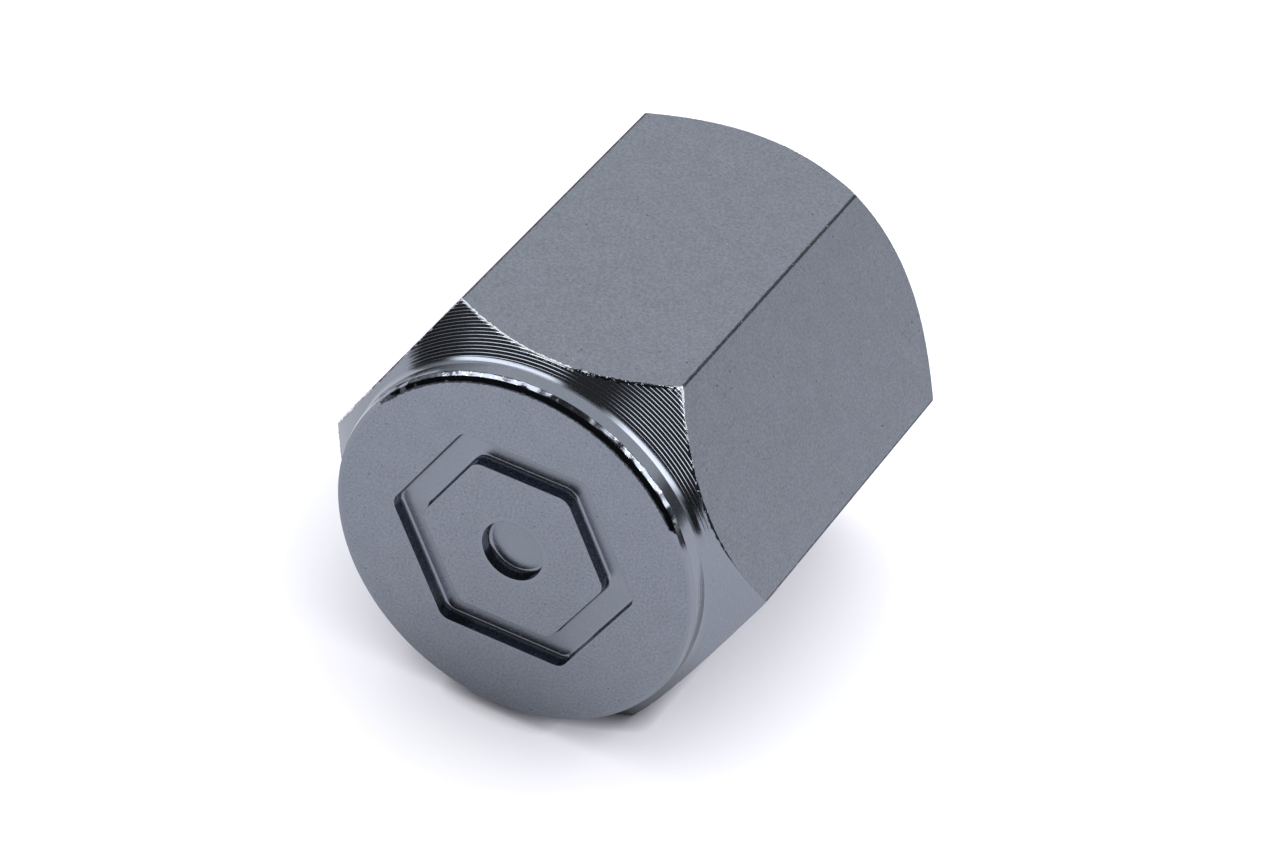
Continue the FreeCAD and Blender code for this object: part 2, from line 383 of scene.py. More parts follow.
# Size of the unevenness in a burr and how far from the edge it reaches, and size of the tool's chatter on the
# rim and how much of it goes inwards and to the back
BURR_UNEVEN = 0.13 * MM
BURR_REACH = 0.05 * MM
CHATTER = 0.3 * MM
CHATTER_SHARE = 0.8


def turned_tree(name, finishes):
    """Sweeps a profile's rows round the axis. Rows that reach past the bar's hexagon stop at its sides."""
    tree, given, result = new_group(name, [
        ("Geometry", "NodeSocketGeometry"),
        ("Columns a flat", "NodeSocketInt"),
        *((socket, "NodeSocketFloat") for socket in (
            "Half flats", "Corner round", "Axis height", "Closed cone radius", "Closed cone start",
            "Closed cone slope", "Open cone radius", "Open cone start", "Open cone slope", "Ridge pitch",
            "Ridge depth", "Burr", "Rim roughness")),
    ])
    size = {socket.name: socket for socket in given.outputs}
    source = size["Geometry"]
    sides = add(tree, "ShaderNodeMath", [size["Columns a flat"], 6.0], operation="MULTIPLY")
    columns = add(tree, "ShaderNodeMath", [sides, 1.0], operation="ADD")
    grid, row, column = grid_of(tree, source, columns)

    # Angle round the axis, with the columns closer together towards the hexagon's corners
    parts = add(tree, "ShaderNodeMath", [column, size["Columns a flat"]], operation="DIVIDE")
    flat_number = add(tree, "ShaderNodeMath", [parts], operation="FLOOR")
    along_flat = add(tree, "ShaderNodeMath", [parts], operation="FRACT")
    centred = add(tree, "ShaderNodeMath", [along_flat, 2.0, -1.0], operation="MULTIPLY_ADD")
    cubed = add(tree, "ShaderNodeMath", [centred, 3.0], operation="POWER")
    wide = add(tree, "ShaderNodeMath", [centred, 1.0 + CORNER_CROWDING], operation="MULTIPLY")
    eased = add(tree, "ShaderNodeMath", [cubed, -CORNER_CROWDING, wide], operation="MULTIPLY_ADD")
    from_middle = add(tree, "ShaderNodeMath", [eased, HALF_SIDE], operation="MULTIPLY")
    middle = add(tree, "ShaderNodeMath", [flat_number, 2 * HALF_SIDE, HALF_SIDE], operation="MULTIPLY_ADD")
    angle = add(tree, "ShaderNodeMath", [middle, from_middle], operation="ADD")
    offset = add(tree, "ShaderNodeMath", [from_middle], operation="ABSOLUTE")

    place = add(tree, "ShaderNodeSeparateXYZ", [row_fact(tree, source, row, "position")])
    own_radius, own_along = place.outputs[0], place.outputs[1]
    share, corner, rough, bare, dark, step_depth = (
        row_fact(tree, source, row, fact) for fact in Profile.FACTS[:-1])

    # Radius: the row's own, its rounded hexagon's, or the bar's side where that is nearer
    hexagon = hexagon_tree()
    side, rounded = (
        add(tree, "GeometryNodeGroup", {"Half flats": flats, "Round": corner_round, "Angle": offset},
            node_tree=hexagon)
        for flats, corner_round in ((size["Half flats"], size["Corner round"]), (own_radius, corner))
    )
    is_hexagon = add(tree, "FunctionNodeCompare", {0: corner, 1: 0.0}, operation="GREATER_THAN")
    reach = add(tree, "GeometryNodeSwitch", {"Switch": is_hexagon, "False": own_radius, "True": rounded},
                input_type="FLOAT")
    radius = add(tree, "ShaderNodeMath", [reach, side], operation="MINIMUM")
    turned_x, turned_z = (
        add(tree, "ShaderNodeMath", [radius, add(tree, "ShaderNodeMath", [angle], operation=turn)],
            operation="MULTIPLY")
        for turn in ("COSINE", "SINE")
    )

    # Cones, with ridges that are a little uneven along their length
    def cone(start_radius, start_along, slope, sign):
        out = add(tree, "ShaderNodeMath", [radius, start_radius], operation="SUBTRACT")
        straight = add(tree, "ShaderNodeMath", [out, slope, start_along], operation="MULTIPLY_ADD")
        turns = add(tree, "ShaderNodeMath", [out, size["Ridge pitch"]], operation="DIVIDE")
        nudged = add(tree, "ShaderNodeMath", [turns, 1e-4], operation="ADD")
        phase = add(tree, "ShaderNodeMath", [nudged], operation="FRACT")
        ridge = add(tree, "ShaderNodeMath", [nudged], operation="FLOOR")
        rise = add(tree, "ShaderNodeMath", [phase, STEEP_SHARE], operation="DIVIDE")
        fall = add(tree, "ShaderNodeMath", [
            add(tree, "ShaderNodeMath", [1.0, phase], operation="SUBTRACT"), 1.0 - STEEP_SHARE,
        ], operation="DIVIDE")
        height = add(tree, "ShaderNodeMath", [rise, fall], operation="MINIMUM")
        own_place = add(tree, "ShaderNodeCombineXYZ", [
            turned_x, add(tree, "ShaderNodeMath", [ridge, NEXT_RIDGE], operation="MULTIPLY"), turned_z,
        ])
        uneven = add(tree, "ShaderNodeTexNoise",
                     {"Vector": own_place, "Scale": 1 / RIDGE_UNEVEN, "Detail": 3.0})
        shallow, deeper = RIDGE_DEPTH_SHARES
        depth_share = add(tree, "ShaderNodeMapRange", {
            "Value": uneven, "From Min": 0.3, "From Max": 0.7, "To Min": shallow, "To Max": deeper,
        })
        depth = add(tree, "ShaderNodeMath", [depth_share, size["Ridge depth"]], operation="MULTIPLY")
        deep = add(tree, "ShaderNodeMath", [height, depth], operation="MULTIPLY")
        return add(tree, "ShaderNodeMath", [deep, sign, straight], operation="MULTIPLY_ADD")

    closed_cone = cone(size["Closed cone radius"], size["Closed cone start"], size["Closed cone slope"], 1.0)
    open_cone = cone(size["Open cone radius"], size["Open cone start"], size["Open cone slope"], -1.0)

    # Where along the axis: on the profile itself, or the share of the way from one cone to the other
    part_way = add(tree, "ShaderNodeMix", {"Factor": share, "A": closed_cone, "B": open_cone},
                   data_type="FLOAT")
    is_plain = add(tree, "FunctionNodeCompare", {0: share, 1: -0.5}, operation="LESS_THAN")
    along = add(tree, "GeometryNodeSwitch", {"Switch": is_plain, "False": part_way, "True": own_along},
                input_type="FLOAT")

    # Distances from the edges that the cones cut in the flats, and from the bar's own corners
    inward = add(tree, "ShaderNodeMath", [side, radius], operation="SUBTRACT")
    behind = add(tree, "ShaderNodeMath", [part_way, closed_cone], operation="SUBTRACT")
    before = add(tree, "ShaderNodeMath", [open_cone, part_way], operation="SUBTRACT")
    nearer = add(tree, "ShaderNodeMath", [behind, before], operation="MINIMUM")
    to_edge = add(tree, "ShaderNodeMath", [inward, nearer], operation="ADD")
    edge_distance = add(tree, "GeometryNodeSwitch", {"Switch": is_plain, "False": to_edge, "True": 1.0},
                        input_type="FLOAT")
    to_corner = add(tree, "ShaderNodeMath", [
        add(tree, "ShaderNodeMath", [HALF_SIDE, offset], operation="SUBTRACT"), radius,
    ], operation="MULTIPLY")
    on_flat = add(tree, "FunctionNodeCompare", {0: own_radius, 1: 1.5 * CORNER}, operation="GREATER_THAN")
    corner_distance = add(tree, "GeometryNodeSwitch", {"Switch": on_flat, "False": 1.0, "True": to_corner},
                          input_type="FLOAT")

    turn_share = add(tree, "ShaderNodeMath", [angle, 2 * math.pi], operation="DIVIDE")
    by_angle = {}
    for worn, keys in BY_ANGLE.items():
        by_angle[worn] = add(tree, "ShaderNodeFloatCurve", {"Value": turn_share})
        mapping = by_angle[worn].mapping
        points = mapping.curves[0].points
        for number in range(2, len(keys)):
            points.new(0.5, 0.5)
        for point, (key, height) in zip(points, keys):
            point.location = (key / 360, height)
            point.handle_type = "VECTOR"
        mapping.update()

    # An uneven burr shifts the cones' edges to the front, as does the rim where its step isn't cut
    smooth = add(tree, "ShaderNodeCombineXYZ", [turned_x, along, turned_z])
    uneven = add(tree, "ShaderNodeTexNoise", {"Vector": smooth, "Scale": 1 / BURR_UNEVEN, "Detail": 3.0})
    near = add(tree, "ShaderNodeMapRange", {
        "Value": edge_distance, "From Min": BURR_REACH, "From Max": 0.0, "To Min": 0.0, "To Max": 1.0,
    })
    cleaner = add(tree, "ShaderNodeMath", [share, -OPEN_END_CLEANER, 1.0], operation="MULTIPLY_ADD")
    wear = add(tree, "ShaderNodeMath", [by_angle["burred"], cleaner], operation="MULTIPLY")
    burr = uneven
    for factor in (near, wear, size["Burr"]):
        burr = add(tree, "ShaderNodeMath", [burr, factor], operation="MULTIPLY")
    uncut = add(tree, "ShaderNodeMath", [
        add(tree, "ShaderNodeMath", [1.0, by_angle["step cut"]], operation="SUBTRACT"), step_depth,
    ], operation="MULTIPLY")
    final_along = add(tree, "ShaderNodeMath", [
        along, add(tree, "ShaderNodeMath", [burr, uncut], operation="ADD"),
    ], operation="SUBTRACT")
    height = add(tree, "ShaderNodeMath", [turned_z, size["Axis height"]], operation="ADD")
    position = add(tree, "ShaderNodeCombineXYZ", [turned_x, final_along, height])

    # The tool chattered over the rim, which cuts it unevenly inwards and to the back
    chatter = add(tree, "ShaderNodeTexNoise", {"Vector": smooth, "Scale": 1 / CHATTER, "Detail": 3.0})
    cut = add(tree, "ShaderNodeMapRange", {
        "Value": chatter, "From Min": 0.35, "From Max": 0.65, "To Min": 0.0, "To Max": 1.0,
    })
    for factor in (rough, by_angle["rim rough"], size["Rim roughness"]):
        cut = add(tree, "ShaderNodeMath", [cut, factor], operation="MULTIPLY")
    outward = add(tree, "ShaderNodeVectorMath", [
        add(tree, "ShaderNodeCombineXYZ", [turned_x, 0.0, turned_z]),
    ], operation="NORMALIZE")
    into_body = add(tree, "ShaderNodeVectorMath", [
        add(tree, "ShaderNodeVectorMath",
            {0: outward.outputs[0], "Scale": -CHATTER_SHARE}, operation="SCALE"),
        (0.0, CHATTER_SHARE, 0.0),
    ], operation="ADD")
    shift = add(tree, "ShaderNodeVectorMath", {0: into_body.outputs[0], "Scale": cut}, operation="SCALE")
    shaped = add(tree, "GeometryNodeSetPosition", {"Geometry": grid, "Position": position, "Offset": shift})

    # What the finish needs to know, on the mesh
    # The rim's bare metal is partly a painted highlight, and its dark specks are a painted dark reflection,
    # each set by the angle round the axis
    rim_bare_and_highlight = add(tree, "ShaderNodeMath", [bare, by_angle["rim bare"]], operation="MULTIPLY")
    rim_dark = add(tree, "ShaderNodeMath", [dark, by_angle["rim rough"]], operation="MULTIPLY")
    last = shaped
    for fact, value in (("row", row), ("edge_distance", edge_distance), ("corner_distance", corner_distance),
                        ("edge_wear", wear), ("bare_and_highlight_share", by_angle["bright"]), ("rim_bare_and_highlight", rim_bare_and_highlight),
                        ("rim_dark", rim_dark)):
        last = add(tree, "GeometryNodeStoreNamedAttribute", {"Geometry": last, "Name": fact, "Value": value},
                   data_type="FLOAT", domain="POINT")
    face_row = add(tree, "ShaderNodeMath", [add(tree, "GeometryNodeInputNamedAttribute", ["row"])],
                   operation="FLOOR")
    last = add(tree, "GeometryNodeStoreNamedAttribute", {
        "Geometry": last, "Name": "zone", "Value": row_fact(tree, source, face_row, "zone"),
    }, data_type="FLOAT", domain="FACE")
    last = closed_and_shaded(tree, last, sharp=24)
    zone = add(tree, "GeometryNodeInputNamedAttribute", ["zone"])
    for number, finish in enumerate(finishes):
        chosen = add(tree, "FunctionNodeCompare", {0: zone, 1: float(number), "Epsilon": 0.1},
                     operation="EQUAL")
        last = add(tree, "GeometryNodeSetMaterial",
                   {"Geometry": last, "Selection": chosen, "Material": finish})
    tree.links.new(last.outputs[0], result.inputs[0])
    return tree


def linear(colour):
    """A colour written in sRGB hex, as the linear values that the shaders take."""
    parts = [int(colour[start:start + 2], 16) / 255 for start in (1, 3, 5)]
    return (*(part / 12.92 if part <= 0.04045 else ((part + 0.055) / 1.055) ** 2.4 for part in parts), 1.0)


ANODISED_GREY = "#838994"
# The dark is oxide and also painted shade; the pale is bare metal and also a painted highlight
OXIDE_AND_SHADE_DARK = "#23262d"
BARE_METAL_AND_HIGHLIGHT = "#eaeff9"
# Sizes of the finish: fine grain, the wide and faint mottle over it, the pits' spacing, the rags along a worn
# edge and the specks in it, the lathe's lines, and the widths of a burr and of a crease
GRAIN = 0.06 * MM
MOTTLE = 0.6 * MM
MOTTLE_SHARE = 0.15
PIT_SPACING = 0.17 * MM
RAGS = 0.1 * MM
SPECKS = 0.07 * MM
TOOL_LINES = 0.05 * MM
BURR_WIDTH = 0.12 * MM
CREASE_WIDTHS = (0.03 * MM, 0.044 * MM)
WORN_ROUGHER = 0.25


def gunmetal(name, roughness, contrast, grain_depth, pits, tool_depth):
    """Gunmetal anodised aluminium. The thin oxide takes its grain from the metal under it."""
    material = bpy.data.materials.new(name)
    material.use_nodes = True
    tree = material.node_tree
    shader = tree.nodes["Principled BSDF"]
    shader.inputs["Metallic"].default_value = 1.0
    place = add(tree, "ShaderNodeTexCoord").outputs["Object"]

    # Grain of the surface: a fine mottle and a wide, faint one
    fine = add(tree, "ShaderNodeTexNoise", {"Vector": place, "Scale": 1 / GRAIN, "Detail": 2.0})
    wide = add(tree, "ShaderNodeTexNoise", {"Vector": place, "Scale": 1 / MOTTLE, "Detail": 3.0})
    both = add(tree, "ShaderNodeMix", {"Factor": MOTTLE_SHARE, "A": fine, "B": wide}, data_type="FLOAT")
    level = add(tree, "ShaderNodeMapRange", {
        "Value": both, "From Min": 0.3, "From Max": 0.7,
        "To Min": 1.0 - contrast, "To Max": 1.0 + contrast,
    })
    tone = add(tree, "ShaderNodeVectorMath",
               {0: linear(ANODISED_GREY)[:3], "Scale": level}, operation="SCALE")

    # Pits that the blasting left: small and darker, a few of them nearly black
    cells = add(tree, "ShaderNodeTexVoronoi", {"Vector": place, "Scale": 1 / PIT_SPACING})
    chance = add(tree, "ShaderNodeSeparateColor", [cells.outputs["Color"]])
    reach = add(tree, "ShaderNodeMapRange", {
        "Value": chance.outputs[0], "From Min": 1.0 - pits, "From Max": 1.0, "To Min": 0.0, "To Max": 0.2,
    })
    inside = add(tree, "ShaderNodeMapRange", {
        "Value": add(tree, "ShaderNodeMath", [reach, cells.outputs["Distance"]], operation="SUBTRACT"),
        "From Min": 0.0, "From Max": 0.08,
    })
    strength = add(tree, "ShaderNodeMapRange", {
        "Value": chance.outputs[1], "From Min": 0.5, "From Max": 1.0, "To Min": 0.2, "To Max": 0.85,
    })
    pit = add(tree, "ShaderNodeMath", [inside, strength], operation="MULTIPLY")

    # Worn edges: ragged, with bare bright metal between dark specks. The bright metal is partly a painted
    # highlight, laid where the edges glint, and the dark specks are partly the burr's painted shade.
    fact = {name: add(tree, "ShaderNodeAttribute", attribute_name=name).outputs["Fac"] for name in (
        "edge_distance", "corner_distance", "edge_wear", "bare_and_highlight_share", "rim_bare_and_highlight", "rim_dark")}
    ragged = add(tree, "ShaderNodeTexNoise", {"Vector": place, "Scale": 1 / RAGS, "Detail": 3.0})
    half_width = add(tree, "ShaderNodeMath", [
        add(tree, "ShaderNodeMapRange", {
            "Value": ragged, "From Min": 0.35, "From Max": 0.65, "To Min": 0.35 * BURR_WIDTH,
            "To Max": BURR_WIDTH,
        }), fact["edge_wear"],
    ], operation="MULTIPLY")
    burr = add(tree, "ShaderNodeMapRange", {
        "Value": add(tree, "ShaderNodeMath", [half_width, fact["edge_distance"]], operation="SUBTRACT"),
        "From Min": -0.006 * MM, "From Max": 0.006 * MM,
    })
    specks = add(tree, "ShaderNodeTexNoise", {"Vector": place, "Scale": 1 / SPECKS, "Detail": 3.0})
    edge_bright, rim_bright = (
        add(tree, "ShaderNodeMapRange", {
            "Value": add(tree, "ShaderNodeMath", [
                specks, add(tree, "ShaderNodeMapRange", {"Value": share, "To Min": rare, "To Max": 0.28}),
            ], operation="SUBTRACT"),
            "From Min": -0.02, "From Max": 0.02,
        })
        for share, rare in ((fact["bare_and_highlight_share"], 0.72), (fact["rim_bare_and_highlight"], 0.78))
    )

    # Crease: the drawn bar's corner, dark and uneven, with a few bright specks
    narrow, broad = CREASE_WIDTHS
    crease_width = add(tree, "ShaderNodeMapRange", {
        "Value": ragged, "From Min": 0.35, "From Max": 0.65, "To Min": narrow, "To Max": broad,
    })
    crease = add(tree, "ShaderNodeMapRange", {
        "Value": add(tree, "ShaderNodeMath", [crease_width, fact["corner_distance"]], operation="SUBTRACT"),
        "From Min": -0.01 * MM, "From Max": 0.008 * MM, "To Max": 0.8,
    })
    crease_bright = add(tree, "ShaderNodeMapRange", {"Value": specks, "From Min": 0.68, "From Max": 0.72})
    # Painted dark specks at the inner edge of the rim's dark reflected band: a painted dark reflection
    rim_painted_dark_specks = add(tree, "ShaderNodeMapRange", {
        "Value": add(tree, "ShaderNodeMath", [specks, fact["rim_dark"]], operation="ADD"),
        "From Min": 0.98, "From Max": 1.04, "To Max": 0.85,
    })

    # Colours, each laid over the last
    dark, bare = linear(OXIDE_AND_SHADE_DARK), linear(BARE_METAL_AND_HIGHLIGHT)
    worn, creased = (
        add(tree, "ShaderNodeMix",
            {"Factor": bright, "A": dark, "B": bare}, data_type="RGBA").outputs["Result"]
        for bright in (edge_bright, crease_bright)
    )
    colour = tone
    for factor, over in (
            (pit, dark), (rim_painted_dark_specks, dark), (crease, creased), (burr, worn), (rim_bright, bare)):
        colour = add(tree, "ShaderNodeMix", {"Factor": factor, "A": colour, "B": over},
                     data_type="RGBA").outputs["Result"]
    tree.links.new(colour, shader.inputs["Base Color"])

    rough_grain = add(tree, "ShaderNodeMapRange", {
        "Value": fine, "From Min": 0.3, "From Max": 0.7, "To Min": roughness * 0.9, "To Max": roughness * 1.1,
    })
    worn_rough = add(tree, "ShaderNodeMath", [burr, WORN_ROUGHER, rough_grain], operation="MULTIPLY_ADD")
    tree.links.new(worn_rough.outputs[0], shader.inputs["Roughness"])

    # Lines that a lathe tool left round the axis, and the grain over them
    parts = add(tree, "ShaderNodeSeparateXYZ", [place])
    above_axis = add(tree, "ShaderNodeMath", [parts.outputs["Z"], -AXIS_HEIGHT], operation="ADD")
    axle = add(tree, "ShaderNodeCombineXYZ", [parts.outputs["X"], 0.0, above_axis])
    radius = add(tree, "ShaderNodeVectorMath", [axle], operation="LENGTH")
    lines = add(tree, "ShaderNodeTexNoise", {
        "Vector": add(tree, "ShaderNodeCombineXYZ", [radius.outputs["Value"], parts.outputs["Y"]]),
        "Scale": 1 / TOOL_LINES, "Detail": 2.0,
    })
    turned_bump = add(tree, "ShaderNodeBump", {"Height": lines, "Strength": 1.0, "Distance": tool_depth})
    bump = add(tree, "ShaderNodeBump",
               {"Height": fine, "Strength": 1.0, "Distance": grain_depth, "Normal": turned_bump})
    tree.links.new(bump.outputs[0], shader.inputs["Normal"])
    return material


# Satin, even grey: blasting scatters the light, so no sharp reflection shows on the face and flats
blasted = gunmetal("blasted_anodised_aluminium", roughness=0.36, contrast=0.22, grain_depth=0.0012 * MM,
                   pits=0.6, tool_depth=0.0)
# Clearer and streaked: the turned cones keep the lathe's crests, which draw crisp light and dark lines
turned = gunmetal("turned_anodised_aluminium", roughness=0.13, contrast=0.06, grain_depth=0.0003 * MM,
                  pits=0.05, tool_depth=0.0025 * MM)
# Smooth milled floor and walls of the mark, a little clearer than the face
milled = gunmetal("milled_anodised_aluminium", roughness=0.25, contrast=0.06, grain_depth=0.0002 * MM,
                  pits=0.1, tool_depth=0.0002 * MM)
# A half gloss with faint rings: the bore and the open face are turned, and aren't blasted
bored = gunmetal("bored_anodised_aluminium", roughness=0.24, contrast=0.06, grain_depth=0.0003 * MM,
                 pits=0.05, tool_depth=0.001 * MM)

BAR_SIZES = {
    "Columns a flat": COLUMNS_A_FLAT,
    "Half flats": HALF_FLATS,
    "Corner round": CORNER_ROUND,
    "Axis height": AXIS_HEIGHT,
    "Closed cone radius": cone_start,
    "Closed cone start": NECK_END + CLOSED_CONE_SLOPE * (cone_start - NECK_RADIUS),
    "Closed cone slope": CLOSED_CONE_SLOPE,
    "Open cone radius": back_start,
    "Open cone start": OPEN_FACE - OPEN_CONE_SLOPE * (back_start - OPEN_FACE_RADIUS),
    "Open cone slope": -OPEN_CONE_SLOPE,
    "Ridge pitch": RIDGE_PITCH,
    "Ridge depth": RIDGE_DEPTH,
    "Burr": 0.04 * MM,
    "Rim roughness": 0.022 * MM,
}
bar_tree = turned_tree("turned_hexagonal_bar", (blasted, turned, milled, bored))
cap = made_by(bar_tree, profile.mesh("cap_profile"), "cap_body_detail", BAR_SIZES)
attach(cap, "root")
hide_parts("cap_body")


# Valve thread
# Cut by a tap in the bore: a right-handed 60 degree thread with 32 turns to the inch, as on any tyre valve.
# The bore's wall above is the thread's root, and this ridge, part of the same metal, winds along it.

THREAD_PITCH = 25.4 / 32 * MM
THREAD_HEIGHT = ROOT_RADIUS - CREST_RADIUS
CREST_FLAT = 0.2 * MM
SUNK_BASE = 0.02 * MM
FLANK = math.tan(math.radians(30))
STEPS_A_TURN = 120
FADING_TURNS = 0.3
thread_start = OPEN_FACE - MOUTH_RADIUS + ROOT_RADIUS
thread_end = RELIEF_START - THREAD_HEIGHT

half_base = CREST_FLAT / 2 + FLANK * (THREAD_HEIGHT + SUNK_BASE)
section = Profile()
section.add(outline([
    (-SUNK_BASE, -half_base, 0),
    (THREAD_HEIGHT, -CREST_FLAT / 2, 2 * EDGE_ROUND),
    (THREAD_HEIGHT, CREST_FLAT / 2, 2 * EDGE_ROUND),
    (-SUNK_BASE, half_base, 0),
    (-SUNK_BASE, -half_base, 0),
], steps=2), BORED)


def thread_tree(name, finish):
    """Winds a section, given as heights above the root, along a helix that fades out at both ends."""
    tree, given, result = new_group(name, [
        ("Geometry", "NodeSocketGeometry"),
        ("Steps", "NodeSocketInt"),
        *((socket, "NodeSocketFloat") for socket in (
            "Turns", "Start", "Length", "Root radius", "Crest radius", "Mouth", "Relief", "Axis height")),
    ])
    size = {socket.name: socket for socket in given.outputs}
    columns = add(tree, "ShaderNodeMath", [size["Steps"], 1.0], operation="ADD")
    grid, row, column = grid_of(tree, size["Geometry"], columns)
    way = add(tree, "ShaderNodeMath", [column, size["Steps"]], operation="DIVIDE")
    turned_so_far = add(tree, "ShaderNodeMath", [way, size["Turns"]], operation="MULTIPLY")
    angle = add(tree, "ShaderNodeMath", [turned_so_far, 2 * math.pi], operation="MULTIPLY")
    left = add(tree, "ShaderNodeMath", [size["Turns"], turned_so_far], operation="SUBTRACT")
    to_end = add(tree, "ShaderNodeMath", [turned_so_far, left], operation="MINIMUM")
    fade = add(tree, "ShaderNodeMapRange", {"Value": to_end, "From Max": FADING_TURNS},
               interpolation_type="SMOOTHSTEP")

    place = add(tree, "ShaderNodeSeparateXYZ", [row_fact(tree, size["Geometry"], row, "position")])
    height = add(tree, "ShaderNodeMath", [place.outputs[0], fade], operation="MULTIPLY")
    aside = add(tree, "ShaderNodeMath", [place.outputs[1], fade], operation="MULTIPLY")
    gone = add(tree, "ShaderNodeMath", [way, size["Length"]], operation="MULTIPLY")
    along = add(tree, "ShaderNodeMath", [
        add(tree, "ShaderNodeMath", [size["Start"], gone], operation="SUBTRACT"), aside,
    ], operation="ADD")
    own = add(tree, "ShaderNodeMath", [size["Root radius"], height], operation="SUBTRACT")

    # The mouth's countersink and the relief's cone cut the crest back
    past_mouth = add(tree, "ShaderNodeMath", [along, size["Mouth"]], operation="SUBTRACT")
    past_relief = add(tree, "ShaderNodeMath", [size["Relief"], along], operation="SUBTRACT")
    past = add(tree, "ShaderNodeMath", [past_mouth, past_relief], operation="MAXIMUM")
    limit = add(tree, "ShaderNodeMath", [size["Crest radius"], past], operation="ADD")
    radius = add(tree, "ShaderNodeMath", [own, limit], operation="MAXIMUM")

    across = add(tree, "ShaderNodeMath", [
        radius, add(tree, "ShaderNodeMath", [angle], operation="COSINE"),
    ], operation="MULTIPLY")
    sine = add(tree, "ShaderNodeMath", [angle], operation="SINE")
    up = add(tree, "ShaderNodeMath", [radius, sine, size["Axis height"]], operation="MULTIPLY_ADD")
    position = add(tree, "ShaderNodeCombineXYZ", [across, along, up])
    last = add(tree, "GeometryNodeSetPosition", {"Geometry": grid, "Position": position})
    for fact in ("edge_distance", "corner_distance"):
        last = add(tree, "GeometryNodeStoreNamedAttribute", {"Geometry": last, "Name": fact, "Value": 1.0},
                   data_type="FLOAT", domain="POINT")
    last = closed_and_shaded(tree, last, sharp=35)
    last = add(tree, "GeometryNodeSetMaterial", {"Geometry": last, "Material": finish})
    tree.links.new(last.outputs[0], result.inputs[0])
    return tree


thread_turns = (thread_start - thread_end) / THREAD_PITCH
thread = made_by(thread_tree("tapped_thread", bored), section.mesh("thread_section"), "valve_thread", {
    "Steps": round(thread_turns * STEPS_A_TURN),
    "Turns": thread_turns,
    "Start": thread_start,
    "Length": thread_start - thread_end,
    "Root radius": ROOT_RADIUS,
    "Crest radius": CREST_RADIUS,
    "Mouth": OPEN_FACE - MOUTH_RADIUS + CREST_RADIUS,
    "Relief": RELIEF_START,
    "Axis height": AXIS_HEIGHT,
})
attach(thread, "root")


# Sealing washer
# Ring punched from moulded rubber sheet, pressed into the relief behind the thread. The end of the valve's
# stem has left a shallow ring in it.

washer_low, washer_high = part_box("sealing_washer")
WASHER_RADIUS = (washer_high.x - washer_low.x) / 2
WASHER_HOLE = 1.8 * MM
WASHER_ROUND = 0.08 * MM
PRINT_INNER = 2.65 * MM
PRINT_OUTER = 3.35 * MM
PRINT_DEPTH = 0.07 * MM
PRINT_SIDE = 0.05 * MM
WASHER_COLUMNS = 24

RUBBER_BLACK = "#26272a"
RUBBER_DUST = "#5b5c5f"
RUBBER_IOR = 1.52
MOULD_SKIN = 0.08 * MM
MOULD_SKIN_DEPTH = 0.006 * MM
DUST = 0.5 * MM
DUSTIEST = 0.4


def moulded_rubber(name):
    """Black rubber with the fine matt skin of its mould and a little pale dust."""
    material = bpy.data.materials.new(name)
    material.use_nodes = True
    tree = material.node_tree
    shader = tree.nodes["Principled BSDF"]
    shader.inputs["IOR"].default_value = RUBBER_IOR
    place = add(tree, "ShaderNodeTexCoord").outputs["Object"]
    skin = add(tree, "ShaderNodeTexNoise", {"Vector": place, "Scale": 1 / MOULD_SKIN, "Detail": 3.0})
    dust = add(tree, "ShaderNodeTexNoise", {"Vector": place, "Scale": 1 / DUST, "Detail": 5.0})
    dusty = add(tree, "ShaderNodeMapRange",
                {"Value": dust, "From Min": 0.52, "From Max": 0.75, "To Max": DUSTIEST})
    colour = add(tree, "ShaderNodeMix",
                 {"Factor": dusty, "A": linear(RUBBER_BLACK), "B": linear(RUBBER_DUST)}, data_type="RGBA")
    tree.links.new(colour.outputs["Result"], shader.inputs["Base Color"])
    rough = add(tree, "ShaderNodeMapRange",
                {"Value": dusty, "From Max": DUSTIEST, "To Min": 0.52, "To Max": 0.8})
    tree.links.new(rough.outputs[0], shader.inputs["Roughness"])
    bump = add(tree, "ShaderNodeBump", {"Height": skin, "Strength": 1.0, "Distance": MOULD_SKIN_DEPTH})
    tree.links.new(bump.outputs[0], shader.inputs["Normal"])
    return material


# Matt and dark, with a soft sheen at a low angle
rubber = moulded_rubber("black_moulded_rubber")
ring = Profile()
ring.add(outline([
    (WASHER_RADIUS, washer_low.y, WASHER_ROUND),
    (WASHER_RADIUS, washer_high.y, WASHER_ROUND),
    (PRINT_OUTER + PRINT_SIDE, washer_high.y, EDGE_ROUND),
    (PRINT_OUTER, washer_high.y - PRINT_DEPTH, EDGE_ROUND),
    (PRINT_INNER, washer_high.y - PRINT_DEPTH, EDGE_ROUND),
    (PRINT_INNER - PRINT_SIDE, washer_high.y, EDGE_ROUND),
    (WASHER_HOLE, washer_high.y, WASHER_ROUND),
    (WASHER_HOLE, washer_low.y, WASHER_ROUND),
]), 0)
ring.points.append(ring.points[0])
for values in ring.facts.values():
    values.append(values[0])
ring_tree = turned_tree("punched_ring", (rubber,))
washer = made_by(ring_tree, ring.mesh("washer_profile"), "sealing_washer_detail", {
    "Columns a flat": WASHER_COLUMNS,
    "Half flats": HALF_FLATS,
    "Axis height": AXIS_HEIGHT,
    "Ridge pitch": RIDGE_PITCH,
})
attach(washer, "root")
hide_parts("sealing_washer")


# Studio
# A sheet of white paper. Its colour carries a painted shadow in the gap that the cap all but closes, and
# faintly as far as its belly overhangs. The metal mirrors the paper darker than the camera sees it, a painted
# reflection level, with a painted glow added there.

